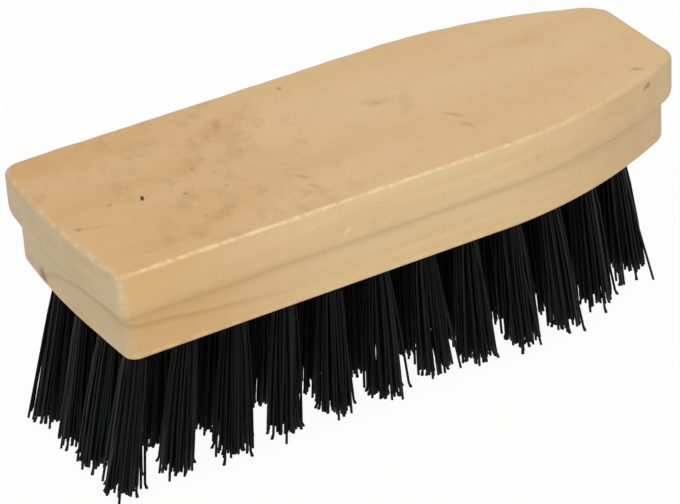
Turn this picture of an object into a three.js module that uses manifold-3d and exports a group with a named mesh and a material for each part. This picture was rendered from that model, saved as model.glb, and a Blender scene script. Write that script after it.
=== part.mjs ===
import * as THREE from 'three';
import { mergeGeometries, mergeVertices } from 'three/addons/utils/BufferGeometryUtils.js';
import Module from 'manifold-3d';

// Hoof brush: a wooden block with tufts of stiff filament, each folded and stapled into a blind hole.
// Millimetres, +Z up. The brush stands on its bristle tips, with the narrow nose towards +X.

// Block
const blockLength = 172;
const blockWidth = 65.1;
const blockHeight = 26.3;
const gripHeight = 13.6;
const skirtInset = 2.6;
const noseSkirtInset = 1.6;
const taperLength = 62;
const noseWidth = 34.5;
const noseCorner = 3.5;
const heelBow = 1.5;
const heelCorner = 3.3;
const topEdgeRadius = 1.3;
const bottomEdgeRadius = 0.8;
const rollAngle = THREE.MathUtils.degToRad(62);

// Tuft pattern
const tuftRows = 4;
const tuftColumns = 12;
const heelMargin = 11.2;
const noseMargin = 15.6;
const sideMargin = 10.9;
const columnEase = 0.05;
const holeDiameter = 5.5;
const holeDepth = 14;

// Bristles
const bristleLength = 44.3;
const strandRadius = 0.6;
const strandSides = 3;
const innerStrands = 3;
const innerRing = 0.8;
const outerStrands = 6;
const tipRing = 3.4;
const tipJitter = 0.3;
const tipRaggedness = 5;
const tipFlat = 0.5;
const tipSeed = 11;
const heelLean = 9.2;
const noseLean = 5;
const sideLean = 2.4;
const sliceDepth = 2;

// Staples
const stapleWire = 0.9;
const stapleWidth = 4.2;
const stapleHeight = 6;
const foldHeight = 2;

// Fits and facets
const fitGap = 0.3;
const curveSteps = 6;
const rollSteps = 4;
const edgeSteps = 3;
const holeSides = 8;
const plugSides = 6;
const weldTolerance = 1e-5;

// Heights and derived sizes
const blockBottom = bristleLength;
const blockTop = blockBottom + blockHeight;
const stepHeight = blockTop - gripHeight;
const holeEnd = blockBottom + holeDepth;
const sliceTop = blockBottom + sliceDepth;
const rootHeight = blockBottom + sliceDepth / 2;
const shoulderX = blockLength / 2 - taperLength;
const noseDrop = (blockWidth - noseWidth) / 2;
const firstColumnX = -blockLength / 2 + heelMargin;
const lastColumnX = blockLength / 2 - noseMargin;
const stripWidth = holeDiameter;
const plugRadius = holeDiameter / 2 - fitGap;
const outerRing = plugRadius - strandRadius;
const crownBottom = holeEnd - foldHeight - stapleWire;

const wasm = await Module();
wasm.setup();

// A closed geometry becomes a solid that can be joined and cut.
function toSolid(geometry) {
  const bare = geometry.clone();
  bare.deleteAttribute('normal');
  bare.deleteAttribute('uv');
  const merged = mergeVertices(bare, weldTolerance);
  const vertProperties = new Float32Array(merged.attributes.position.array);
  const triVerts = new Uint32Array(merged.index.array);
  return new wasm.Manifold(new wasm.Mesh({ numProp: 3, vertProperties, triVerts }));
}

function toGeometry(solid) {
  const { vertProperties, triVerts } = solid.getMesh();
  const geometry = new THREE.BufferGeometry();
  geometry.setAttribute('position', new THREE.BufferAttribute(new Float32Array(vertProperties), 3));
  geometry.setIndex(new THREE.BufferAttribute(new Uint32Array(triVerts), 1));
  geometry.computeVertexNormals();
  return geometry;
}

// Half width of the grip at x: straight sides, then a parabola in to the nose.
function gripHalfWidth(x) {
  const along = Math.max(0, (x - shoulderX) / taperLength);
  return blockWidth / 2 - noseDrop * along ** 2;
}

// Plan outline of the block, set in by one distance at the heel and sides and by another at the nose, with
// the same corner rounding at every height.
function blockOutline(inset, noseInset) {
  const noseX = blockLength / 2 - noseInset;
  const heelX = -blockLength / 2 + inset;
  const halfWidth = blockWidth / 2 - inset;
  const noseSlope = (2 * noseDrop) / taperLength;
  const cornerX = noseX - noseCorner * Math.cos(Math.atan(noseSlope));
  const cornerY = gripHalfWidth(cornerX) - noseInset * Math.hypot(1, noseSlope);
  const noseY = cornerY - noseSlope * (noseX - cornerX);
  const heelHalf = halfWidth - heelCorner;
  const heelSlope = (2 * heelBow) / heelHalf;
  const half = new THREE.Path();
  half.moveTo(noseX, 0);
  half.lineTo(noseX, noseY - noseCorner);
  half.quadraticCurveTo(noseX, noseY, cornerX, cornerY);
  half.quadraticCurveTo((shoulderX + cornerX) / 2, halfWidth, shoulderX, halfWidth);
  half.lineTo(heelX + heelBow + heelSlope * heelCorner + heelCorner, halfWidth);
  half.quadraticCurveTo(heelX + heelBow + heelSlope * heelCorner, halfWidth, heelX + heelBow, heelHalf);
  half.quadraticCurveTo(heelX, heelHalf / 2, heelX, 0);
  const upper = half.getPoints(curveSteps);
  const lower = upper.slice(1, -1).reverse();
  return [...upper, ...lower.map((point) => new THREE.Vector2(point.x, -point.y))];
}

// Section of the block's side from the underside to the top: how far each height is set in. The step is
// shallower at the nose.
function blockProfile() {
  const profile = [];
  const noseShare = noseSkirtInset / skirtInset;
  const rollRadius = skirtInset / (1 - Math.cos(rollAngle));
  const rollTop = stepHeight + rollRadius * Math.sin(rollAngle);
  for (let i = 0; i <= edgeSteps; i++) {
    const turn = (Math.PI / 2) * (i / edgeSteps);
    const inset = skirtInset + bottomEdgeRadius * (1 - Math.sin(turn));
    const z = blockBottom + bottomEdgeRadius * (1 - Math.cos(turn));
    profile.push({ inset, noseInset: noseShare * inset, z });
  }
  for (let i = rollSteps; i >= 0; i--) {
    const turn = rollAngle * (i / rollSteps);
    const inset = rollRadius * (1 - Math.cos(turn));
    profile.push({ inset, noseInset: noseShare * inset, z: rollTop - rollRadius * Math.sin(turn) });
  }
  for (let i = 0; i <= edgeSteps; i++) {
    const turn = (Math.PI / 2) * (i / edgeSteps);
    const inset = topEdgeRadius * (1 - Math.cos(turn));
    profile.push({ inset, noseInset: inset, z: blockTop - topEdgeRadius * (1 - Math.sin(turn)) });
  }
  return profile;
}

// Closed loft through rings that all have the same number of points.
function loft(rings) {
  const count = rings[0].points.length;
  const positions = rings.flatMap(({ points, z }) => points.flatMap((point) => [point.x, point.y, z]));
  const index = [];
  for (let ring = 0; ring < rings.length - 1; ring++) {
    for (let i = 0; i < count; i++) {
      const here = ring * count + i;
      const next = ring * count + ((i + 1) % count);
      index.push(here, next, next + count);
      index.push(here, next + count, here + count);
    }
  }
  const top = (rings.length - 1) * count;
  for (const [a, b, c] of THREE.ShapeUtils.triangulateShape(rings[0].points, [])) {
    index.push(c, b, a);
  }
  for (const [a, b, c] of THREE.ShapeUtils.triangulateShape(rings.at(-1).points, [])) {
    index.push(top + a, top + b, top + c);
  }
  const geometry = new THREE.BufferGeometry();
  geometry.setAttribute('position', new THREE.Float32BufferAttribute(positions, 3));
  geometry.setIndex(index);
  return geometry;
}

// Tuft centres: rows run along X and draw together as the nose narrows, and columns stand a little closer
// there. Each tuft leans outwards and opens towards its tips, as far as the next row leaves room.
function tuftCentre(row, column) {
  const share = column / (tuftColumns - 1);
  const x = THREE.MathUtils.lerp(firstColumnX, lastColumnX, share + columnEase * share * (1 - share));
  const rowPitch = (2 * (gripHalfWidth(x) - skirtInset - sideMargin)) / (tuftRows - 1);
  const y = rowPitch * (row - (tuftRows - 1) / 2);
  const leanX = x < 0 ? (heelLean * x) / -firstColumnX : (noseLean * x) / lastColumnX;
  const leanShare = sideLean / (blockWidth / 2 - skirtInset - sideMargin);
  const tipRoom = (rowPitch * (1 + leanShare)) / 2 - strandRadius - tipJitter - fitGap;
  return { x, y, leanX, leanY: leanShare * y, opening: Math.min(tipRing, tipRoom) / outerRing };
}

function rowCentres(row) {
  return Array.from({ length: tuftColumns }, (_, column) => tuftCentre(row, column));
}

// Upright prism round one tuft centre, between two heights.
function tuftPrism(centre, radius, sides, bottom, top) {
  const flatsAlongX = Math.PI / 2 - Math.PI / sides;
  const prism = new THREE.CylinderGeometry(radius, radius, top - bottom, sides, 1, false, flatsAlongX);
  prism.rotateX(Math.PI / 2);
  prism.translate(centre.x, centre.y, (bottom + top) / 2);
  return prism;
}

// Strip of backing that follows one row of tufts, with an even clearance added round it.
function rowStrip(row, top, clearance) {
  const half = stripWidth / 2 + clearance;
  const centres = rowCentres(row);
  const first = centres[0];
  const last = centres.at(-1);
  const line = [{ x: first.x - half, y: first.y }, ...centres, { x: last.x + half, y: last.y }];
  const right = line.map((point) => new THREE.Vector2(point.x, point.y - half));
  const left = line.map((point) => new THREE.Vector2(point.x, point.y + half)).reverse();
  const bottom = blockBottom - clearance;
  const strip = new THREE.ExtrudeGeometry(new THREE.Shape([...right, ...left]), {
    depth: top + clearance - bottom,
    bevelEnabled: false,
  });
  strip.translate(0, 0, bottom);
  return strip;
}

// Wire staple with its crown across the fold of the tuft and both legs up in the wood.
function staple(centre, clearance) {
  const outer = stapleWidth / 2 + clearance;
  const inner = stapleWidth / 2 - stapleWire - clearance;
  const crown = stapleWire + clearance;
  const top = stapleHeight + clearance;
  const wire = stapleWire + 2 * clearance;
  const outline = new THREE.Shape();
  outline.moveTo(-outer, -clearance);
  outline.lineTo(outer, -clearance);
  outline.lineTo(outer, top);
  outline.lineTo(inner, top);
  outline.lineTo(inner, crown);
  outline.lineTo(-inner, crown);
  outline.lineTo(-inner, top);
  outline.lineTo(-outer, top);
  outline.closePath();
  const geometry = new THREE.ExtrudeGeometry(outline, { depth: wire, bevelEnabled: false });
  geometry.translate(0, 0, -wire / 2);
  geometry.rotateX(Math.PI / 2);
  geometry.translate(centre.x, centre.y, crownBottom);
  return geometry;
}

// Prism from tip to root between two level ends, so that the tip is cut flat.
function strand(root, tip) {
  const rings = [tip, root].map((end) => {
    const points = [];
    for (let side = 0; side < strandSides; side++) {
      const turn = (2 * Math.PI * side) / strandSides;
      const x = end.x + strandRadius * Math.cos(turn);
      const y = end.y + strandRadius * Math.sin(turn);
      points.push(new THREE.Vector2(x, y));
    }
    return { points, z: end.z };
  });
  return loft(rings);
}

// Two rings of strands that open out evenly from the hole to the tips, so that none cross.
function tuftStrands(centre) {
  const strands = [];
  const rings = [
    { count: innerStrands, radius: innerRing, start: 0 },
    { count: outerStrands, radius: outerRing, start: Math.PI / outerStrands },
  ];
  for (const { count, radius, start } of rings) {
    for (let i = 0; i < count; i++) {
      const turn = start + (2 * Math.PI * i) / count;
      const offset = { x: radius * Math.cos(turn), y: radius * Math.sin(turn) };
      const jitterX = tipJitter * (2 * THREE.MathUtils.seededRandom() - 1);
      const jitterY = tipJitter * (2 * THREE.MathUtils.seededRandom() - 1);
      const root = { x: centre.x + offset.x, y: centre.y + offset.y, z: rootHeight };
      const tip = {
        x: centre.x + centre.leanX + centre.opening * offset.x + jitterX,
        y: centre.y + centre.leanY + centre.opening * offset.y + jitterY,
        z: Math.max(0, tipRaggedness * THREE.MathUtils.seededRandom() - tipFlat),
      };
      strands.push(strand(root, tip));
    }
  }
  return strands;
}

function woodenBlock() {
  const rings = blockProfile().map(({ inset, noseInset, z }) => {
    return { points: blockOutline(inset, noseInset), z };
  });
  const grooves = [];
  const holes = [];
  const legSockets = [];
  for (let row = 0; row < tuftRows; row++) {
    grooves.push(rowStrip(row, sliceTop, fitGap));
    for (const centre of rowCentres(row)) {
      holes.push(tuftPrism(centre, holeDiameter / 2, holeSides, blockBottom, holeEnd));
      legSockets.push(staple(centre, fitGap));
    }
  }
  return toGeometry(
    toSolid(loft(rings))
      .subtract(toSolid(mergeGeometries(grooves)))
      .subtract(toSolid(mergeGeometries(holes)))
      .subtract(toSolid(mergeGeometries(legSockets))),
  );
}

// One row of tufts: folded roots that fill the holes, the strip between them, and the free strands.
function bristleRow(row) {
  const plugs = [];
  const staples = [];
  const strands = [];
  for (const centre of rowCentres(row)) {
    plugs.push(tuftPrism(centre, plugRadius, plugSides, rootHeight, holeEnd - fitGap));
    staples.push(staple(centre, fitGap));
    strands.push(...tuftStrands(centre));
  }
  return toGeometry(
    toSolid(rowStrip(row, sliceTop, 0))
      .add(toSolid(mergeGeometries(plugs)))
      .subtract(toSolid(mergeGeometries(staples)))
      .add(toSolid(mergeGeometries(strands))),
  );
}

const lacqueredWood = new THREE.MeshStandardMaterial({ color: 0xd3b283, roughness: 0.45, metalness: 0 });
const blackFilament = new THREE.MeshStandardMaterial({ color: 0x141413, roughness: 0.5, metalness: 0 });
const stapleWireSteel = new THREE.MeshStandardMaterial({ color: 0xa9adb0, roughness: 0.35, metalness: 1 });

THREE.MathUtils.seededRandom(tipSeed);
const brush = new THREE.Group();

function addPiece(name, geometry, material) {
  const mesh = new THREE.Mesh(geometry, material);
  mesh.name = name;
  brush.add(mesh);
}

addPiece('wooden_block', woodenBlock(), lacqueredWood);
for (let row = 0; row < tuftRows; row++) {
  addPiece(`bristle_row_${row + 1}`, bristleRow(row), blackFilament);
  rowCentres(row).forEach((centre, column) => {
    addPiece(`staple_${row + 1}_${column + 1}`, staple(centre, 0), stapleWireSteel);
  });
}

// The origin is on the floor, under the middle of the whole brush.
const middle = new THREE.Box3().setFromObject(brush).getCenter(new THREE.Vector3());
brush.position.set(-middle.x, -middle.y, 0);

export default brush;
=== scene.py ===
import math
import random

import bmesh
import bpy
from mathutils import Matrix, Vector, noise


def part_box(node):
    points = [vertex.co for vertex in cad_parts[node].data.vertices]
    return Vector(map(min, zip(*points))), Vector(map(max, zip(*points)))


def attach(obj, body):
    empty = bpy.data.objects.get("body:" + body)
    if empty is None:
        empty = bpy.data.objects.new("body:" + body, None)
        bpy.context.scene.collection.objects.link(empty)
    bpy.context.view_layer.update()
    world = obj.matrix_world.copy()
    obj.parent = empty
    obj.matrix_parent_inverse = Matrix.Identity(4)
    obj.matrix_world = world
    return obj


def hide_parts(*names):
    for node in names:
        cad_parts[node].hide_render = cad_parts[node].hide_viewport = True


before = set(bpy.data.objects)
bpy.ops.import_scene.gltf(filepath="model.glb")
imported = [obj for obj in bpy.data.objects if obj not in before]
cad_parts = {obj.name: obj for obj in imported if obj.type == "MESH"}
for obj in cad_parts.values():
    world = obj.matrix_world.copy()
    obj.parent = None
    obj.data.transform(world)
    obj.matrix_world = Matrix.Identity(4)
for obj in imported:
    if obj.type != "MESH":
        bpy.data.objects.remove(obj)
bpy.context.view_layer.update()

# Wooden block
# One piece of pale softwood, moulded to plan: a grip whose lower edge rolls in over a lower part, and a blind
# hole in the underside for each tuft. It is sanded by hand, so its edges waver and its corners differ, and it
# is sprayed with clear lacquer.
block_low, block_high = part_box("wooden_block")
half_length = (block_high.x - block_low.x) / 2
middle_x = (block_high.x + block_low.x) / 2
taper_length = 0.062
nose_width = 0.0345
nose_corner = 0.0032
far_nose_corner = 0.0045
heel_bow = 0.0015
heel_corner = 0.0037
far_heel_corner = 0.0045
crispness = 0.00046
corner_segments = 9
grip_height = 0.0136
skirt_inset = 0.0026
nose_step_share = 0.74
heel_step_share = 0.8
roll_height = 0.0043
roll_angle = math.radians(78)
roll_steps = 10
step_fillet = 0.0006
fillet_steps = 4
top_edge_radius = 0.0009
nose_softening = 0.9
heel_softening = 0.6
bottom_edge_radius = 0.0012
nose_rounding = 0.0013
heel_rounding = 0.0011
rounding_fade = 0.016
bottom_wear_and_highlight_height = 0.0011
edge_steps = 6
flat_rim = 0.0012
hole_radius = 0.00275
hole_depth = 0.014
hole_sides = 20
sanding_wave = 0.006
sanding_depth = 0.0004
# Shares of the pale edges, which are sanded wear and a painted highlight.
nose_wear_and_highlight_loss = 0.9
heel_wear_and_highlight_loss = 0.55
corner_wear_and_highlight = 0.3
bottom_wear_and_highlight = 0.5
plan_step = 0.0012
sharp_angle = math.radians(40)
tuft_rows = 4
tuft_columns = 12
shoulder_x = block_high.x - taper_length
nose_drop = block_high.y - nose_width / 2


def taper_share(x):
    """How far x lies along the taper, from 0 at the shoulder to 1 at the nose."""
    return max(0.0, (x - shoulder_x) / taper_length)


def half_width(x):
    """Half width of the grip: straight sides, then a parabola in to the nose."""
    return block_high.y - nose_drop * taper_share(x) ** 2


def set_in(point, inset):
    """A point of the plan, moved in square to the outline by that distance."""
    slope = 2 * nose_drop * taper_share(point.x) / taper_length
    x = point.x - inset * (point.x - middle_x) / half_length
    y = point.y - inset * math.hypot(1, slope) * point.y / half_width(point.x)
    return x, y


def heel_share(x):
    """How far x lies round the heel corners, from 0 on the sides to 1 at the heel."""
    return min(1.0, max(0.0, (block_low.x + heel_bow + heel_corner - x) / heel_corner))


def corner_share(point):
    """How near a point of the plan lies to the middle of the front heel corner, from 0 to 1."""
    across = (-point.y - block_high.y + heel_corner) / heel_corner
    return (2 * heel_share(point.x) * max(0.0, across)) ** 2


def shares(steps):
    """Evenly spaced shares from 0 to 1."""
    return [i / steps for i in range(steps + 1)]


def side_profile(edge_radius, low_radius, step_share):
    """Section of the side from underside to top: each line's inset, height and share of wear and painted
    highlight.
    """
    step = block_high.z - grip_height
    depth = step_share * skirt_inset
    lines = [(depth + low_radius + flat_rim, block_low.z, 0.0)]
    # The bottom edge grows paler as it turns: sanded wear and a painted highlight.
    for share in shares(edge_steps):
        turn = share * math.pi / 2
        inset = depth + low_radius * (1 - math.sin(turn))
        lines.append((inset, block_low.z + low_radius * (1 - math.cos(turn)), bottom_wear_and_highlight * share))
    lines.append((depth, block_low.z + low_radius + bottom_wear_and_highlight_height, 0.0))
    for share in shares(fillet_steps):
        turn = share * roll_angle
        inset = depth - step_share * step_fillet * (1 - math.cos(turn))
        lines.append((inset, step - step_fillet * (1 - math.sin(turn)), 0.0))
    roll_depth = depth - step_share * step_fillet * (1 - math.cos(roll_angle))
    roll_start = step - step_fillet * (1 - math.sin(roll_angle))
    for share in shares(roll_steps)[1:]:
        turn = (1 - share) * roll_angle
        inset = roll_depth * (1 - math.cos(turn)) / (1 - math.cos(roll_angle))
        rise = 1 - math.sin(turn) / math.sin(roll_angle)
        lines.append((inset, roll_start + roll_height * rise, 0.0))
    # The top edge is palest halfway round, where it catches the light: sanded wear and a painted highlight.
    for share in shares(edge_steps):
        turn = share * math.pi / 2
        inset = edge_radius * (1 - math.cos(turn))
        lines.append((inset, block_high.z - edge_radius * (1 - math.sin(turn)), math.sin(2 * turn)))
    lines.append((edge_radius + flat_rim, block_high.z, 0.0))
    return lines


bm = bmesh.new()
plan_point = bm.verts.layers.float_vector.new("plan_point")
wear_and_highlight_layer = bm.verts.layers.float.new("wear_and_highlight")
right_side = [
    (block_low.x + heel_bow, -block_high.y),
    (shoulder_x, -block_high.y),
    (block_high.x, -nose_width / 2),
]
left_side = [(x, -y) for x, y in reversed(right_side)]
corners = [bm.verts.new((x, y, block_low.z)) for x, y in right_side + left_side]
bm.faces.new(corners)
for corner, size in (
    (corners[0], heel_corner),
    (corners[2], nose_corner),
    (corners[3], far_nose_corner),
    (corners[5], far_heel_corner),
):
    bmesh.ops.bevel(
        bm, geom=[corner], offset=size, segments=corner_segments, profile=0.5, affect="VERTICES", material=-1,
    )
for edge in list(bm.edges):
    cuts = int(edge.calc_length() / plan_step)
    if cuts:
        bmesh.ops.subdivide_edges(bm, edges=[edge], cuts=cuts)
for vert in bm.verts:
    straight_taper = block_high.y - nose_drop * taper_share(vert.co.x)
    vert.co.y *= half_width(vert.co.x) / straight_taper
    if vert.co.x < block_low.x + heel_bow + heel_corner:
        vert.co.x -= heel_bow * max(0.0, 1 - (vert.co.y / (block_high.y - heel_corner)) ** 2)
    vert[plan_point] = vert.co
bmesh.ops.delete(bm, geom=bm.faces[:], context="FACES_ONLY")

loop = bm.edges[:]
underside_rim = loop
for level in range(len(side_profile(top_edge_radius, bottom_edge_radius, 1.0))):
    if level:
        geom = bmesh.ops.extrude_edge_only(bm, edges=loop)["geom"]
        fresh = {item for item in geom if isinstance(item, bmesh.types.BMVert)}
        loop = [item for item in geom if isinstance(item, bmesh.types.BMEdge) and set(item.verts) <= fresh]
    for vert in {vert for edge in loop for vert in edge.verts}:
        point = Vector(vert[plan_point])
        sanding = sanding_depth * noise.noise(point / sanding_wave)
        taper = taper_share(point.x)
        heel = heel_share(point.x)
        edge_radius = sanding + top_edge_radius * (1 + nose_softening * taper + heel_softening * heel)
        from_front = min(1.0, (point.y + block_high.y) / rounding_fade)
        low_radius = bottom_edge_radius + nose_rounding * taper ** 2 + heel_rounding * heel * from_front
        step_share = 1 - (1 - nose_step_share) * taper - (1 - heel_step_share) * heel
        inset, height, wear_and_highlight = side_profile(edge_radius, low_radius, step_share)[level]
        # The pale edges, sanded wear and painted highlight, fade at the nose and heel and gather on the front
        # heel corner.
        wear_and_highlight *= 1 - nose_wear_and_highlight_loss * math.sqrt(taper) - heel_wear_and_highlight_loss * heel
        if height > block_high.z - grip_height:
            inset -= crispness * corner_share(point)
            if height < block_high.z:
                wear_and_highlight += corner_wear_and_highlight * corner_share(point)
        vert.co = (*set_in(point, inset), height)
        vert[wear_and_highlight_layer] = wear_and_highlight
bmesh.ops.contextual_create(bm, geom=loop)

tuft_roots = {}
for row in range(1, tuft_rows + 1):
    for column in range(1, tuft_columns + 1):
        low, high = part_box(f"staple_{row}_{column}")
        tuft_roots[row, column] = Vector(((low.x + high.x) / 2, (low.y + high.y) / 2, low.z))
hole_rims = []
for root in tuft_roots.values():
    mouth = Matrix.Translation((root.x, root.y, block_low.z))
    ring = bmesh.ops.create_circle(bm, segments=hole_sides, radius=hole_radius, matrix=mouth)["verts"]
    hole_rims += list({edge for vert in ring for edge in vert.link_edges})
bmesh.ops.triangle_fill(bm, edges=underside_rim + hole_rims, use_beauty=True, normal=(0, 0, -1))
geom = bmesh.ops.extrude_edge_only(bm, edges=hole_rims)["geom"]
fresh = {item for item in geom if isinstance(item, bmesh.types.BMVert)}
hole_ends = [item for item in geom if isinstance(item, bmesh.types.BMEdge) and set(item.verts) <= fresh]
bmesh.ops.translate(bm, verts=list(fresh), vec=(0, 0, hole_depth))
bmesh.ops.holes_fill(bm, edges=hole_ends)
bmesh.ops.recalc_face_normals(bm, faces=bm.faces[:])
bm.verts.layers.float_vector.remove(plan_point)
for edge in bm.edges:
    edge.smooth = edge.calc_face_angle(0) < sharp_angle
for face in bm.faces:
    face.smooth = True
mesh = bpy.data.meshes.new("lacquered_block")
bm.to_mesh(mesh)
bm.free()
block = bpy.data.objects.new("lacquered_block", mesh)
bpy.context.scene.collection.objects.link(block)


def colour(hex_value):
    """Linear colour of an sRGB hex value such as #d3b283."""
    channels = [int(hex_value[i:i + 2], 16) / 255 for i in (1, 3, 5)]
    linear = [c / 12.92 if c <= 0.04045 else ((c + 0.055) / 1.055) ** 2.4 for c in channels]
    return (*linear, 1.0)


def add_node(tree, kind, settings, inputs):
    """Adds a node with its settings. Each input is a value, or the socket that is linked to it."""
    node = tree.nodes.new(kind)
    for name, value in settings.items():
        setattr(node, name, value)
    for socket, value in inputs.items():
        if isinstance(value, bpy.types.NodeSocket):
            tree.links.new(value, node.inputs[socket])
        else:
            node.inputs[socket].default_value = value
    return node


def per_size(size):
    """Mapping scale that makes one unit of a pattern as long as the real size."""
    return tuple(1 / length for length in size)


# Clear satin lacquer over flat-sawn softwood: even and warm at the heel, paler towards the nose, with a faint
# figure along the grain, one dark growth ring low on the heel, greyer end grain, and pale edges that are
# partly sanded wear and partly a painted highlight. The sides carry painted light, paler towards their
# middle. Real fibres are far finer, so fibre_size is as coarse as it takes to show them.
pale_wood = colour("#dfbf90")
warm_wood = colour("#d0a670")
painted_side_light_wood = colour("#dfc799")
ring_wood = colour("#a67f4e")
late_wood = colour("#c7a275")
end_wood = colour("#c2af8d")
end_dull = colour("#b8a27e")
dull_wood = colour("#b59560")
worn_and_highlit_wood = colour("#f2d7a8")
figure_size = (0.07, 0.02, 0.014)
patch_size = (0.0045, 0.0070, 0.0045)
streak_size = (0.05, 0.0028, 0.0028)
end_size = (0.005, 0.02, 0.006)
speckle_size = (0.0016, 0.0012, 0.0012)
fibre_size = (0.014, 0.0007, 0.0007)
wear_and_highlight_size = 0.0035
warm_start = 0.02
warm_full = -0.085
ring_radius = 0.0657
ring_pith = (middle_x - 0.0826, -0.017, -0.0098)
ring_tilt = (0.0, math.radians(6.9), 0.0)
ring_waver = 0.012
ring_wander = 0.0012
ring_start = -0.025
ring_full = -0.07
ring_edge = 0.0004
line_core = 0.0003
line_width = 0.0022
band_core = 0.002
band_width = 0.011
dull_middle = -0.042
dull_core = 0.012
dull_reach = 0.042
side_light_core = 0.015
side_light_reach = 0.075

wood = bpy.data.materials.new("satin_lacquered_softwood")
wood.use_nodes = True
tree = wood.node_tree
shader = tree.nodes["Principled BSDF"]
place = add_node(tree, "ShaderNodeTexCoord", {}, {}).outputs["Object"]
position = add_node(tree, "ShaderNodeSeparateXYZ", {}, {"Vector": place})
along = position.outputs["X"]
up = position.outputs["Z"]
facing = add_node(tree, "ShaderNodeSeparateXYZ", {}, {
    "Vector": add_node(tree, "ShaderNodeNewGeometry", {}, {}).outputs["Normal"],
})
grain = {}
for name, size, settings in (
    ("figure", figure_size, {"Detail": 3.0, "Distortion": 0.3}),
    ("fibre", fibre_size, {"Detail": 2.0}),
    ("patches", patch_size, {"Detail": 5.0, "Roughness": 0.65}),
    ("streaks", streak_size, {"Detail": 3.0}),
    ("speckles", speckle_size, {"Detail": 1.0}),
    ("end_mottle", end_size, {"Detail": 3.0}),
):
    stretched = add_node(tree, "ShaderNodeMapping", {}, {"Vector": place, "Scale": per_size(size)})
    grain[name] = add_node(tree, "ShaderNodeTexNoise", {}, {
        "Vector": stretched.outputs["Vector"], "Scale": 1.0, **settings,
    }).outputs["Fac"]

# The base: pale wood, warmer in the figure and towards the heel.
figure_share = add_node(tree, "ShaderNodeMapRange", {"interpolation_type": "SMOOTHSTEP"}, {
    "Value": grain["figure"], "From Min": 0.35, "From Max": 0.65, "To Max": 0.27,
})
heel_warmth = add_node(tree, "ShaderNodeMapRange", {"interpolation_type": "SMOOTHSTEP"}, {
    "Value": along, "From Min": warm_start, "From Max": warm_full, "To Min": 0.14, "To Max": 0.69,
})
warm_share = add_node(tree, "ShaderNodeMath", {"operation": "ADD"}, {
    0: figure_share.outputs["Result"], 1: heel_warmth.outputs["Result"],
})
base = add_node(tree, "ShaderNodeMix", {"data_type": "RGBA"}, {
    "Factor": warm_share.outputs["Value"], 6: pale_wood, 7: warm_wood,
})

# The growth ring: a cylinder about a pith below the block, sharp on its outer side and fading inwards. It
# crosses the heel as a low dome, turns along the front and runs out towards the middle.
wander = add_node(tree, "ShaderNodeTexNoise", {}, {"Vector": place, "Scale": 1 / ring_waver, "Detail": 2.0})
ring_place = add_node(tree, "ShaderNodeMapping", {"vector_type": "TEXTURE"}, {
    "Vector": place, "Location": ring_pith, "Rotation": ring_tilt,
})
from_pith = add_node(tree, "ShaderNodeVectorMath", {"operation": "MULTIPLY"}, {
    0: ring_place.outputs["Vector"], 1: (0.0, 1.0, 1.0),
})
pith_distance = add_node(tree, "ShaderNodeVectorMath", {"operation": "LENGTH"}, {
    0: from_pith.outputs["Vector"],
})
wavering = add_node(tree, "ShaderNodeMath", {"operation": "MULTIPLY_ADD"}, {
    0: wander.outputs["Fac"], 1: ring_wander, 2: pith_distance.outputs["Value"],
})
ring_depth = add_node(tree, "ShaderNodeMath", {"operation": "SUBTRACT"}, {
    0: ring_radius + ring_wander / 2, 1: wavering.outputs["Value"],
})
outer_side = add_node(tree, "ShaderNodeMapRange", {"interpolation_type": "SMOOTHSTEP"}, {
    "Value": ring_depth.outputs["Value"], "From Min": -ring_edge, "From Max": ring_edge,
})
line_fade = add_node(tree, "ShaderNodeMapRange", {"interpolation_type": "SMOOTHSTEP"}, {
    "Value": ring_depth.outputs["Value"], "From Min": line_width, "From Max": line_core, "To Max": 0.34,
})
band_fade = add_node(tree, "ShaderNodeMapRange", {"interpolation_type": "SMOOTHSTEP"}, {
    "Value": ring_depth.outputs["Value"], "From Min": band_width, "From Max": band_core, "To Max": 0.22,
})
heel_end = add_node(tree, "ShaderNodeMapRange", {"interpolation_type": "SMOOTHSTEP"}, {
    "Value": along, "From Min": ring_start, "From Max": ring_full,
})
ring_side = add_node(tree, "ShaderNodeMath", {"operation": "MULTIPLY"}, {
    0: outer_side.outputs["Result"], 1: heel_end.outputs["Result"],
})
band_share = add_node(tree, "ShaderNodeMath", {"operation": "MULTIPLY"}, {
    0: ring_side.outputs["Value"], 1: band_fade.outputs["Result"],
})
line_share = add_node(tree, "ShaderNodeMath", {"operation": "MULTIPLY"}, {
    0: ring_side.outputs["Value"], 1: line_fade.outputs["Result"],
})
low_side = add_node(tree, "ShaderNodeMapRange", {"interpolation_type": "SMOOTHSTEP"}, {
    "Value": up, "From Min": block_high.z - grip_height + roll_height / 3,
    "From Max": block_high.z - grip_height - roll_height / 2, "To Max": 0.55,
})
low_share = add_node(tree, "ShaderNodeMath", {"operation": "MULTIPLY"}, {
    0: low_side.outputs["Result"], 1: heel_end.outputs["Result"],
})

# Handling and sawing: fine fibres and specks all over, dull patches on the top of the heel half, streaks on
# the sides, and mottled end grain. Painted light makes the sides paler and yellower towards their middle.
fibre_share = add_node(tree, "ShaderNodeMapRange", {}, {
    "Value": grain["fibre"], "From Min": 0.35, "From Max": 0.7, "To Max": 0.02,
})
speckle_share = add_node(tree, "ShaderNodeMapRange", {"interpolation_type": "SMOOTHSTEP"}, {
    "Value": grain["speckles"], "From Min": 0.62, "From Max": 0.85, "To Max": 0.3,
})
facing_top = add_node(tree, "ShaderNodeMapRange", {}, {
    "Value": facing.outputs["Z"], "From Min": 0.5, "To Min": 0.15,
})
patch_share = add_node(tree, "ShaderNodeMapRange", {"interpolation_type": "SMOOTHSTEP"}, {
    "Value": grain["patches"], "From Min": 0.46, "From Max": 0.74, "To Max": 0.52,
})
dull_shift = add_node(tree, "ShaderNodeMath", {"operation": "SUBTRACT"}, {
    0: along, 1: middle_x + dull_middle,
})
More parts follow.
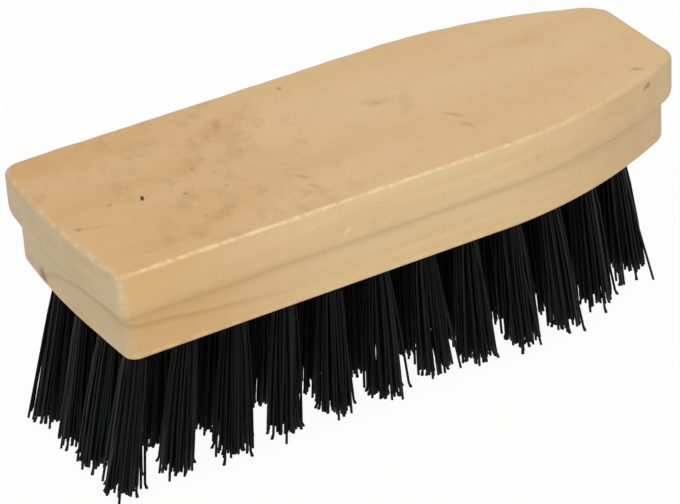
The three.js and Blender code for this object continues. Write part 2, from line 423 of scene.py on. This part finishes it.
dull_distance = add_node(tree, "ShaderNodeMath", {"operation": "ABSOLUTE"}, {0: dull_shift.outputs["Value"]})
dull_part = add_node(tree, "ShaderNodeMapRange", {"interpolation_type": "SMOOTHSTEP"}, {
    "Value": dull_distance.outputs["Value"], "From Min": dull_reach, "From Max": dull_core, "To Min": 0.2,
})
dull_here = add_node(tree, "ShaderNodeMath", {"operation": "MULTIPLY"}, {
    0: patch_share.outputs["Result"], 1: dull_part.outputs["Result"],
})
dull_share = add_node(tree, "ShaderNodeMath", {"operation": "MULTIPLY"}, {
    0: dull_here.outputs["Value"], 1: facing_top.outputs["Result"],
})
streak_share = add_node(tree, "ShaderNodeMapRange", {"interpolation_type": "SMOOTHSTEP"}, {
    "Value": grain["streaks"], "From Min": 0.42, "From Max": 0.7, "To Max": 0.3,
})
off_top = add_node(tree, "ShaderNodeMath", {"operation": "SUBTRACT"}, {
    0: 1.0, 1: facing_top.outputs["Result"],
})
side_streaks = add_node(tree, "ShaderNodeMath", {"operation": "MULTIPLY"}, {
    0: streak_share.outputs["Result"], 1: off_top.outputs["Value"],
})
# Painted light: the front and back sides are painted paler and yellower, most in the middle of their length.
facing_side = add_node(tree, "ShaderNodeMath", {"operation": "ABSOLUTE"}, {0: facing.outputs["Y"]})
from_middle = add_node(tree, "ShaderNodeMath", {"operation": "ABSOLUTE"}, {0: along})
side_light_fade = add_node(tree, "ShaderNodeMapRange", {"interpolation_type": "SMOOTHSTEP"}, {
    "Value": from_middle.outputs["Value"],
    "From Min": side_light_core, "From Max": side_light_reach, "To Min": 0.65, "To Max": 0.1,
})
side_light_share = add_node(tree, "ShaderNodeMath", {"operation": "MULTIPLY"}, {
    0: facing_side.outputs["Value"], 1: side_light_fade.outputs["Result"],
})
facing_end = add_node(tree, "ShaderNodeMath", {"operation": "ABSOLUTE"}, {0: facing.outputs["X"]})
end_share = add_node(tree, "ShaderNodeMapRange", {"interpolation_type": "SMOOTHSTEP"}, {
    "Value": facing_end.outputs["Value"], "From Min": 0.05, "From Max": 0.8, "To Max": 0.8,
})
end_dullness = add_node(tree, "ShaderNodeMapRange", {"interpolation_type": "SMOOTHSTEP"}, {
    "Value": grain["end_mottle"], "From Min": 0.4, "From Max": 0.7,
})
end_grain = add_node(tree, "ShaderNodeMix", {"data_type": "RGBA"}, {
    "Factor": end_dullness.outputs["Result"], 6: end_wood, 7: end_dull,
})

# Sanded edges and painted highlight: pale beads along the edges that the mesh marks, partly bare sanded wood
# and partly a painted highlight where the rounded edges meet the light.
worn_and_highlit_edge = add_node(tree, "ShaderNodeAttribute", {"attribute_name": "wear_and_highlight"}, {})
wear_and_highlight_noise = add_node(tree, "ShaderNodeTexNoise", {}, {
    "Vector": place, "Scale": 1 / wear_and_highlight_size, "Detail": 5.0, "Roughness": 0.65,
})
wear_and_highlight_beads = add_node(tree, "ShaderNodeMapRange", {"interpolation_type": "SMOOTHSTEP"}, {
    "Value": wear_and_highlight_noise.outputs["Fac"], "From Min": 0.42, "From Max": 0.6, "To Min": 0.1, "To Max": 0.75,
})
worn_and_highlit_share = add_node(tree, "ShaderNodeMath", {"operation": "MULTIPLY"}, {
    0: worn_and_highlit_edge.outputs["Fac"], 1: wear_and_highlight_beads.outputs["Result"],
})

surface = base.outputs[2]
for share, tint in (
    (fibre_share.outputs["Result"], ring_wood),
    (side_light_share.outputs["Value"], painted_side_light_wood),
    (side_streaks.outputs["Value"], warm_wood),
    (dull_share.outputs["Value"], dull_wood),
    (speckle_share.outputs["Result"], dull_wood),
    (low_share.outputs["Value"], warm_wood),
    (end_share.outputs["Result"], end_grain.outputs[2]),
    (band_share.outputs["Value"], late_wood),
    (line_share.outputs["Value"], ring_wood),
    (worn_and_highlit_share.outputs["Value"], worn_and_highlit_wood),
):
    surface = add_node(tree, "ShaderNodeMix", {"data_type": "RGBA"}, {
        "Factor": share, 6: surface, 7: tint,
    }).outputs[2]

# Marks under the lacquer: pitch specks, scraped dashes, brown and reddish smudges, a small knot and a nick.
# Each is a soft, ragged spot, with its place from the middle of the block, its half sizes and its turn.
pitch_dark = colour("#4c2100")
speck_brown = colour("#936633")
smudge_brown = colour("#ad834a")
flush_red = colour("#c88c55")
rust_red = colour("#b5652c")
knot_brown = colour("#8c6238")
nick_pale = colour("#f4e7c8")
ragged_size = 0.0016
raggedness = 1.1
mark_depth = 0.003
top_marks = (
    ((-0.0622, -0.0025), (0.0015, 0.0006), 62, pitch_dark, 2.5),
    ((-0.0454, 0.0028), (0.0014, 0.0010), 60, speck_brown, 0.6),
    ((-0.0462, 0.0040), (0.0080, 0.0045), 40, flush_red, 0.35),
    ((-0.0526, -0.0068), (0.0010, 0.0008), 0, speck_brown, 0.6),
    ((-0.0703, -0.0007), (0.0015, 0.0009), 10, speck_brown, 0.4),
    ((-0.0820, -0.0069), (0.0013, 0.0010), 0, speck_brown, 0.6),
    ((-0.0785, -0.0082), (0.0060, 0.0013), -19, smudge_brown, 0.3),
    ((-0.0422, -0.0090), (0.0011, 0.0009), 0, speck_brown, 0.5),
    ((-0.0504, -0.0205), (0.0060, 0.0030), 30, smudge_brown, 0.3),
    ((-0.0535, -0.0190), (0.0014, 0.0011), 0, speck_brown, 0.3),
    ((-0.0580, -0.0260), (0.0045, 0.0030), 45, smudge_brown, 0.25),
    ((-0.0665, -0.0243), (0.0040, 0.0030), 40, flush_red, 0.3),
    ((-0.0840, 0.0119), (0.0050, 0.0030), 20, flush_red, 0.45),
    ((-0.0800, 0.0270), (0.0180, 0.0100), 20, flush_red, 0.2),
    ((-0.0310, 0.0173), (0.0110, 0.0075), 20, flush_red, 0.35),
    ((-0.0298, 0.0190), (0.0050, 0.0020), 62, smudge_brown, 0.5),
    ((-0.0300, 0.0099), (0.0085, 0.0050), -30, smudge_brown, 0.25),
    ((-0.0073, 0.0267), (0.0012, 0.0008), 30, speck_brown, 0.7),
    ((-0.0249, -0.0164), (0.0034, 0.0012), -60, smudge_brown, 0.5),
    ((-0.0245, -0.0223), (0.0034, 0.0012), -60, smudge_brown, 0.4),
    ((0.0095, 0.0060), (0.0070, 0.0035), -20, smudge_brown, 0.26),
    ((0.0088, 0.0052), (0.0020, 0.0012), -35, speck_brown, 0.22),
    ((0.0156, 0.0010), (0.0110, 0.0030), 59, smudge_brown, 0.2),
    ((0.0590, 0.0112), (0.0060, 0.0030), -25, smudge_brown, 0.15),
    ((0.0219, -0.0112), (0.0036, 0.0012), -58, smudge_brown, 0.5),
    ((0.0221, -0.0178), (0.0036, 0.0014), -60, smudge_brown, 0.4),
    ((0.0729, -0.0187), (0.0024, 0.0012), -35, rust_red, 0.55),
)
side_marks = (
    ((-0.0832, 0.0142, 0.0034), (0.005, 0.0034, 0.0032), (0, 0, 0), knot_brown, 0.9),
    ((-0.0221, -0.0325, 0.0177), (0.0024, mark_depth, 0.0009), (0, -50, 0), nick_pale, 0.3),
    ((0.0336, -0.0325, 0.0196), (0.0014, mark_depth, 0.0009), (0, 0, 0), rust_red, 0.25),
    ((0.0733, -0.0229, 0.0231), (0.0026, mark_depth, 0.0013), (0, -6, 21), speck_brown, 0.65),
)
marks = [
    ((*spot, block_high.z - block_low.z), (*size, mark_depth), (0, 0, turn), tint, share)
    for spot, size, turn, tint, share in top_marks
]
ragged = add_node(tree, "ShaderNodeTexNoise", {}, {"Vector": place, "Scale": 1 / ragged_size, "Detail": 3.0})
ragged_shift = add_node(tree, "ShaderNodeVectorMath", {"operation": "MULTIPLY_ADD"}, {
    0: ragged.outputs["Color"], 1: (raggedness,) * 3, 2: (-raggedness / 2,) * 3,
})
for spot, size, turns, tint, share in (*marks, *side_marks):
    mark_place = add_node(tree, "ShaderNodeMapping", {"vector_type": "TEXTURE"}, {
        "Vector": place,
        "Location": (middle_x + spot[0], spot[1], block_low.z + spot[2]),
        "Rotation": [math.radians(turn) for turn in turns],
        "Scale": size,
    })
    ragged_place = add_node(tree, "ShaderNodeVectorMath", {"operation": "ADD"}, {
        0: mark_place.outputs["Vector"], 1: ragged_shift.outputs["Vector"],
    })
    from_mark = add_node(tree, "ShaderNodeVectorMath", {"operation": "LENGTH"}, {
        0: ragged_place.outputs["Vector"],
    })
    mark_share = add_node(tree, "ShaderNodeMapRange", {"interpolation_type": "SMOOTHSTEP"}, {
        "Value": from_mark.outputs["Value"], "From Min": 1.0, "From Max": 0.1, "To Max": share,
    })
    surface = add_node(tree, "ShaderNodeMix", {"data_type": "RGBA"}, {
        "Factor": mark_share.outputs["Result"], 6: surface, 7: tint,
    }).outputs[2]
tree.links.new(surface, shader.inputs["Base Color"])

bump = add_node(tree, "ShaderNodeBump", {}, {
    "Height": grain["fibre"], "Strength": 0.1, "Distance": 0.0004,
})
tree.links.new(bump.outputs["Normal"], shader.inputs["Normal"])
satin = add_node(tree, "ShaderNodeMapRange", {}, {
    "Value": grain["figure"], "To Min": 0.4, "To Max": 0.55,
})
tree.links.new(satin.outputs["Result"], shader.inputs["Roughness"])
shader.inputs["IOR"].default_value = 1.5
shader.inputs["Specular IOR Level"].default_value = 0.15
shader.inputs["Coat Weight"].default_value = 0.05
shader.inputs["Coat Roughness"].default_value = 0.25
mesh.materials.append(wood)
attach(block, "root")
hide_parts("wooden_block")

# Staples
# Forty-eight staples of drawn steel wire, one at the end of each hole, with the fold of the tuft under its
# crown and both legs driven up into the wood. They are the solids of the frame, with a finish: bright grey
# wire with the fine lines of the die, drawn coarse enough to show.
wire_grey = colour("#a9adb0")
wire_dark = colour("#7d8286")
draw_line = (0.006, 0.0002, 0.0002)
steel = bpy.data.materials.new("drawn_steel_wire")
steel.use_nodes = True
tree = steel.node_tree
shader = tree.nodes["Principled BSDF"]
place = add_node(tree, "ShaderNodeTexCoord", {}, {}).outputs["Object"]
line_place = add_node(tree, "ShaderNodeMapping", {}, {"Vector": place, "Scale": per_size(draw_line)})
die_lines = add_node(tree, "ShaderNodeTexNoise", {}, {"Vector": line_place.outputs["Vector"], "Scale": 1.0})
wire_tint = add_node(tree, "ShaderNodeMix", {"data_type": "RGBA"}, {
    "Factor": die_lines.outputs["Fac"], 6: wire_dark, 7: wire_grey,
})
polish = add_node(tree, "ShaderNodeMapRange", {}, {
    "Value": die_lines.outputs["Fac"], "To Min": 0.25, "To Max": 0.5,
})
tree.links.new(wire_tint.outputs[2], shader.inputs["Base Color"])
tree.links.new(polish.outputs["Result"], shader.inputs["Roughness"])
shader.inputs["Metallic"].default_value = 1.0
for row, column in tuft_roots:
    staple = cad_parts[f"staple_{row}_{column}"]
    staple.data.materials.clear()
    staple.data.materials.append(steel)

# Bristle tufts
# Each tuft is a bundle of stiff black nylon filaments, folded in half under its staple and drawn into its
# hole. The rows fan outwards, the tips are trimmed level with a few left long, the cut leaves burrs, and a
# few filaments stray.
filaments_per_tuft = 64
filament_radius = 0.00034
filament_sides = 6
mouth_share = 0.22
burr_share = 0.975
bend_shares = (mouth_share, 0.45, 0.7, burr_share)
bundle_radius = hole_radius - filament_radius
tip_opening = 1.8
opening_spread = 0.12
heel_lean = 0.0086
nose_lean = 0.0038
side_lean = 0.0012
tuft_wander = 0.0007
tip_wander = 0.0005
trim_height = 0.0040
trim_ragged = 0.0006
long_share = 0.08
long_trim = 0.6
stray_share = 0.055
nose_trim = 0.003
nose_columns = 2
stray_reach = 0.005
stray_forward = (0.1, 1.0)
stray_aside = 0.3
bow_size = 0.0003
burr_spacing = 3
burr_reach = 0.2
burr_swell = 0.35
swell_power = 0.65
golden_turn = math.pi * (3 - math.sqrt(5))
random.seed(10)

# Extruded nylon: near black and half matt, with some filaments a little paler and glossier, so that the
# bundles show fine grey streaks.
nylon_black = colour("#040404")
nylon_grey = colour("#191c1a")
nylon = bpy.data.materials.new("extruded_black_nylon")
nylon.use_nodes = True
tree = nylon.node_tree
shader = tree.nodes["Principled BSDF"]
tone = add_node(tree, "ShaderNodeAttribute", {"attribute_name": "tone"}, {}).outputs["Fac"]
shade = add_node(tree, "ShaderNodeMix", {"data_type": "RGBA"}, {
    "Factor": tone, 6: nylon_black, 7: nylon_grey,
})
gloss = add_node(tree, "ShaderNodeMapRange", {}, {"Value": tone, "To Min": 0.55, "To Max": 0.38})
tree.links.new(shade.outputs[2], shader.inputs["Base Color"])
tree.links.new(gloss.outputs["Result"], shader.inputs["Roughness"])
shader.inputs["IOR"].default_value = 1.53
shader.inputs["Specular IOR Level"].default_value = 0.12

# One straight filament of unit length and radius, cut where it will bend. Each filament is a copy of it.
cap_facing = 0.5
filament_crease = math.radians(75)
bm = bmesh.new()
bmesh.ops.create_cone(
    bm, cap_ends=True, segments=filament_sides, radius1=1, radius2=1, depth=1,
    matrix=Matrix.Translation((0, 0, 0.5)),
)
for share in bend_shares:
    whole = bm.verts[:] + bm.edges[:] + bm.faces[:]
    bmesh.ops.bisect_plane(bm, geom=whole, plane_co=(0, 0, share), plane_no=(0, 0, 1))
for face in bm.faces:
    face.smooth = abs(face.normal.z) < cap_facing
for edge in bm.edges:
    edge.smooth = edge.calc_face_angle(0) < filament_crease
straight_filament = bpy.data.meshes.new("straight_filament")
bm.to_mesh(straight_filament)
bm.free()
filament_points = len(straight_filament.vertices)

first_x = tuft_roots[1, 1].x
last_x = tuft_roots[1, tuft_columns].x
side_y = tuft_roots[tuft_rows, 1].y


def scatter(size):
    """A small random step in plan."""
    return Vector((random.gauss(0, size), random.gauss(0, size)))


def tuft_lean(root):
    """How far the tips of a tuft stand out from its hole, more towards the ends and sides of the brush."""
    if root.x < middle_x:
        lean_x = heel_lean * (root.x - middle_x) / (middle_x - first_x)
    else:
        lean_x = nose_lean * (root.x - middle_x) / (last_x - middle_x)
    return Vector((lean_x, side_lean * root.y / side_y))


for row in range(1, tuft_rows + 1):
    bm = bmesh.new()
    tone_layer = bm.verts.layers.float.new("tone")
    for _ in range(tuft_columns * filaments_per_tuft):
        bm.from_mesh(straight_filament)
    points = iter(bm.verts[:])
    for column in range(1, tuft_columns + 1):
        root = tuft_roots[row, column]
        lean = tuft_lean(root) + scatter(tuft_wander)
        opening = tip_opening * random.uniform(1 - opening_spread, 1 + opening_spread)
        trim = trim_height + nose_trim * max(0, 1 - (tuft_columns - column) / nose_columns)
        first_turn = random.uniform(0, 2 * math.pi)
        for i in range(filaments_per_tuft):
            from_axis = bundle_radius * math.sqrt((i + 0.5) / filaments_per_tuft)
            turn = first_turn + i * golden_turn
            offset = Vector((from_axis * math.cos(turn), from_axis * math.sin(turn)))
            drift = lean + scatter(tip_wander)
            tip_height = trim + random.gauss(0, trim_ragged)
            if random.random() < stray_share * (1 + offset.x / bundle_radius):
                forward = random.uniform(*stray_forward)
                aside = random.uniform(-stray_aside, stray_aside)
                drift += stray_reach * Vector((forward, aside))
                tip_height = random.uniform(0, trim)
            if random.random() < long_share:
                tip_height = random.uniform(0, long_trim * trim)
            tip_height = max(0.0, tip_height)
            bow = scatter(bow_size)
            filament_tone = random.random() ** 2
            burred = i % burr_spacing == 0
            for _ in range(filament_points):
                vert = next(points)
                share = vert.co.z
                free = max(0.0, (share - mouth_share) / (1 - mouth_share))
                burr = burred * max(0.0, (share - burr_share) / (1 - burr_share))
                swell = 1 + (opening - 1) * free ** swell_power + burr_reach * burr
                radius = filament_radius * (1 + burr_swell * burr)
                path = swell * offset + free * drift + bow * math.sin(math.pi * free)
                if share < mouth_share:
                    height = root.z + (block_low.z - root.z) * share / mouth_share
                else:
                    height = block_low.z + (tip_height - block_low.z) * free
                vert.co = (
                    root.x + path.x + radius * vert.co.x,
                    root.y + path.y + radius * vert.co.y,
                    height,
                )
                vert[tone_layer] = filament_tone
    bmesh.ops.recalc_face_normals(bm, faces=bm.faces[:])
    mesh = bpy.data.meshes.new(f"filament_row_{row}")
    bm.to_mesh(mesh)
    bm.free()
    mesh.materials.append(nylon)
    tufts = bpy.data.objects.new(f"filament_row_{row}", mesh)
    bpy.context.scene.collection.objects.link(tufts)
    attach(tufts, "root")
    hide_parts(f"bristle_row_{row}")
bpy.data.meshes.remove(straight_filament)

# Floor, light and view
# A pale paper floor that goes white to the eye, keeps a soft shadow and is clear from below, one broad lamp
# above the camera, a weak one from the left, and the camera of the photograph.
floor_half = 3.0
floor_white_share = 0.95
world_light = 0.7
lamp_distance = 1.1


def seen_directly(tree):
    """A socket that is 1 for rays from the camera, off gloss or through glass, and 0 for all other light."""
    rays = add_node(tree, "ShaderNodeLightPath", {}, {}).outputs
    seen = add_node(tree, "ShaderNodeMath", {"operation": "MAXIMUM"}, {
        0: rays["Is Camera Ray"], 1: rays["Is Glossy Ray"],
    })
    seen_through = add_node(tree, "ShaderNodeMath", {"operation": "MAXIMUM"}, {
        0: seen.outputs["Value"], 1: rays["Is Transmission Ray"],
    })
    return seen_through.outputs["Value"]


bm = bmesh.new()
bmesh.ops.create_grid(bm, x_segments=1, y_segments=1, size=floor_half)
mesh = bpy.data.meshes.new("floor")
bm.to_mesh(mesh)
bm.free()
floor = bpy.data.objects.new("floor", mesh)
bpy.context.scene.collection.objects.link(floor)
paper = bpy.data.materials.new("white_paper")
paper.use_nodes = True
tree = paper.node_tree
shader = tree.nodes["Principled BSDF"]
shader.inputs["Base Color"].default_value = colour("#ececea")
shader.inputs["Roughness"].default_value = 0.9
glow = add_node(tree, "ShaderNodeEmission", {}, {"Color": colour("#ffffff"), "Strength": 1.0})
white_share = add_node(tree, "ShaderNodeMath", {"operation": "MULTIPLY"}, {
    0: seen_directly(tree), 1: floor_white_share,
})
finish = add_node(tree, "ShaderNodeMixShader", {}, {
    0: white_share.outputs["Value"], 1: shader.outputs["BSDF"], 2: glow.outputs["Emission"],
})
below = add_node(tree, "ShaderNodeNewGeometry", {}, {}).outputs["Backfacing"]
clear = add_node(tree, "ShaderNodeBsdfTransparent", {}, {})
one_sided = add_node(tree, "ShaderNodeMixShader", {}, {
    0: below, 1: finish.outputs["Shader"], 2: clear.outputs["BSDF"],
})
tree.links.new(one_sided.outputs["Shader"], tree.nodes["Material Output"].inputs["Surface"])
mesh.materials.append(paper)

world = bpy.data.worlds.new("studio")
bpy.context.scene.world = world
world.use_nodes = True
tree = world.node_tree
sky = tree.nodes["Background"]
sky_level = add_node(tree, "ShaderNodeMapRange", {}, {
    "Value": seen_directly(tree), "To Min": world_light, "To Max": 1.0,
})
sky.inputs["Color"].default_value = colour("#ffffff")
tree.links.new(sky_level.outputs["Result"], sky.inputs["Strength"])

for name, direction, size, power in (
    ("key_lamp", Vector((-0.4, -0.6, 0.75)), 0.9, 4.6),
    ("fill_lamp", Vector((-0.85, -0.25, 0.45)), 0.8, 0.1),
):
    lamp = bpy.data.lights.new(name, "AREA")
    lamp.size = size
    lamp.energy = power
    stand = bpy.data.objects.new(name, lamp)
    stand.location = lamp_distance * direction.normalized()
    stand.rotation_euler = direction.to_track_quat("Z", "Y").to_euler()
    bpy.context.scene.collection.objects.link(stand)

view_azimuth = math.radians(-28.467)
view_elevation = math.radians(31.139)
view_roll = math.radians(-3.626)
view_distance = 0.8497
view_target = Vector((middle_x - 0.02127, -0.02647, 0.05265))
lens = bpy.data.cameras.new("camera")
lens.sensor_fit = "HORIZONTAL"
lens.sensor_width = 36.0
lens.lens = 182.3
camera = bpy.data.objects.new("camera", lens)
camera.matrix_world = (
    Matrix.Translation(view_target)
    @ Matrix.Rotation(view_azimuth, 4, "Z")
    @ Matrix.Rotation(math.pi / 2 - view_elevation, 4, "X")
    @ Matrix.Rotation(view_roll, 4, "Z")
    @ Matrix.Translation((0, 0, view_distance))
)
bpy.context.scene.collection.objects.link(camera)
bpy.context.scene.camera = camera
bpy.context.scene.view_settings.view_transform = "Standard"
